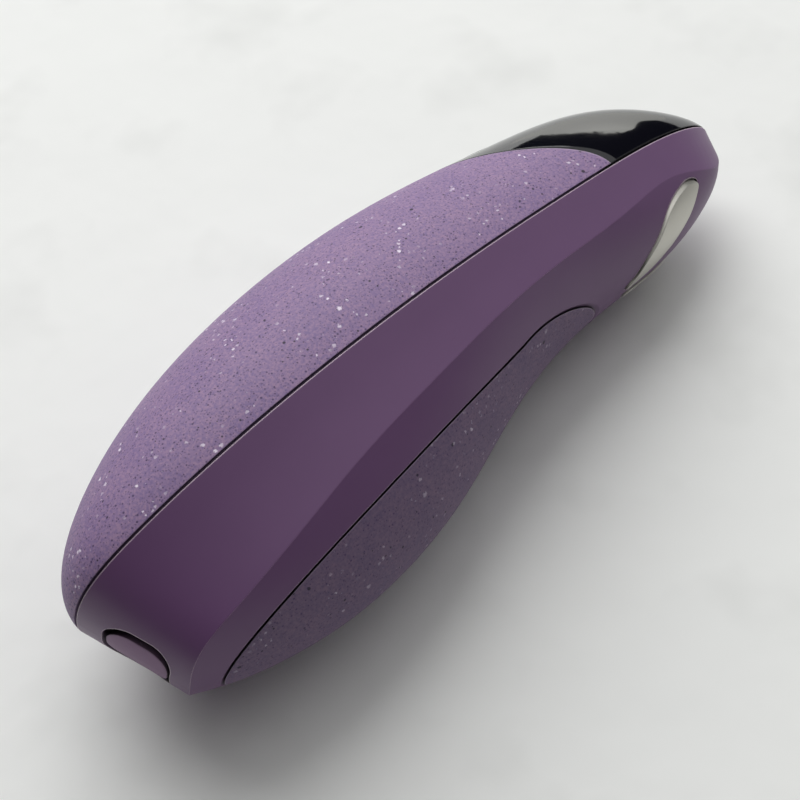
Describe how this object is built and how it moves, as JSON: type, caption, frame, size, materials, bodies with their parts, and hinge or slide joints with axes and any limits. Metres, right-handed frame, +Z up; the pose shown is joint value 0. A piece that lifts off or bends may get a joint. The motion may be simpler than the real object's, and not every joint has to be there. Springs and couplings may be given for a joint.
{
  "type": "eye beauty device",
  "caption": "Hand-held eye care massager with a domed back, drop-shaped skin electrodes, a black control panel with press keys and a covered charging socket.",
  "frame": {"origin": "centre of the bounding box at table level, under the flank that the device lies on", "axes": "+X from the charging end towards the tip of the head, +Y from the front with the electrodes towards the back with the panel, +Z up from the table"},
  "size_m": [0.1198, 0.0422, 0.0366],
  "materials": {
    "satin_purple": "satin, smooth dark purple",
    "speckled_purple": "matte purple with fine dark and pale specks",
    "gloss_black": "high gloss black",
    "key_black": "gloss black",
    "satin_silver": "satin silver plate",
    "cover_rubber": "satin dark purple",
    "switch_plastic": "moulded black",
    "board_green": "green solder mask",
    "screw_steel": "zinc plated",
    "led_white": "clear pale resin",
    "lead_red": "red insulation",
    "chassis_white": "natural white moulding",
    "coil_brown": "lacquered copper winding",
    "capacitor_can": "bare can",
    "cell_foil": "foil pouch",
    "tape_foam": "white foam tape",
    "tongue_black": "moulded black"
  },
  "bodies": {
    "handset": {"back_shell": "speckled_purple", "battery_cell": "cell_foil", "battery_plug": "switch_plastic", "battery_tape": "tape_foam", "board_screws": "screw_steel", "boost_coil": "coil_brown", "capacitors": "capacitor_can", "charge_board": "board_green", "charge_socket": "screw_steel", "chassis": "chassis_white", "chassis_screws": "screw_steel", "control_panel": "gloss_black", "controller_chip": "switch_plastic", "electrode_lead_left": "lead_red", "electrode_lead_right": "lead_red", "electrode_left": "satin_silver", "electrode_nuts": "screw_steel", "electrode_right": "satin_silver", "frame": "satin_purple", "front_shell": "speckled_purple", "indicator_leds": "led_white", "key_board": "board_green", "key_board_screws": "screw_steel", "key_switches": "switch_plastic", "main_board": "board_green", "socket_tongue": "tongue_black"},
    "power_key": {"power_key": "key_black", "power_plunger": "switch_plastic"},
    "mode_key": {"mode_key": "key_black", "mode_plunger": "switch_plastic"},
    "port_cover": {"port_cover": "cover_rubber"}
  },
  "joints": [
    {"name": "power_key_press", "type": "slide", "parent": "handset", "child": "power_key", "axis": [-0.2322, -0.9453, -0.229], "range_m": [0, 0.0004], "stiffness_N_per_m": 2500, "springref_m": -0.0004},
    {"name": "mode_key_press", "type": "slide", "parent": "handset", "child": "mode_key", "axis": [-0.2322, -0.9453, -0.229], "range_m": [0, 0.0004], "stiffness_N_per_m": 2500, "springref_m": -0.0004},
    {"name": "port_cover_pull", "type": "slide", "parent": "handset", "child": "port_cover", "axis": [-0.9976, 0, 0.0689], "range_m": [0, 0.01]}
  ]
}
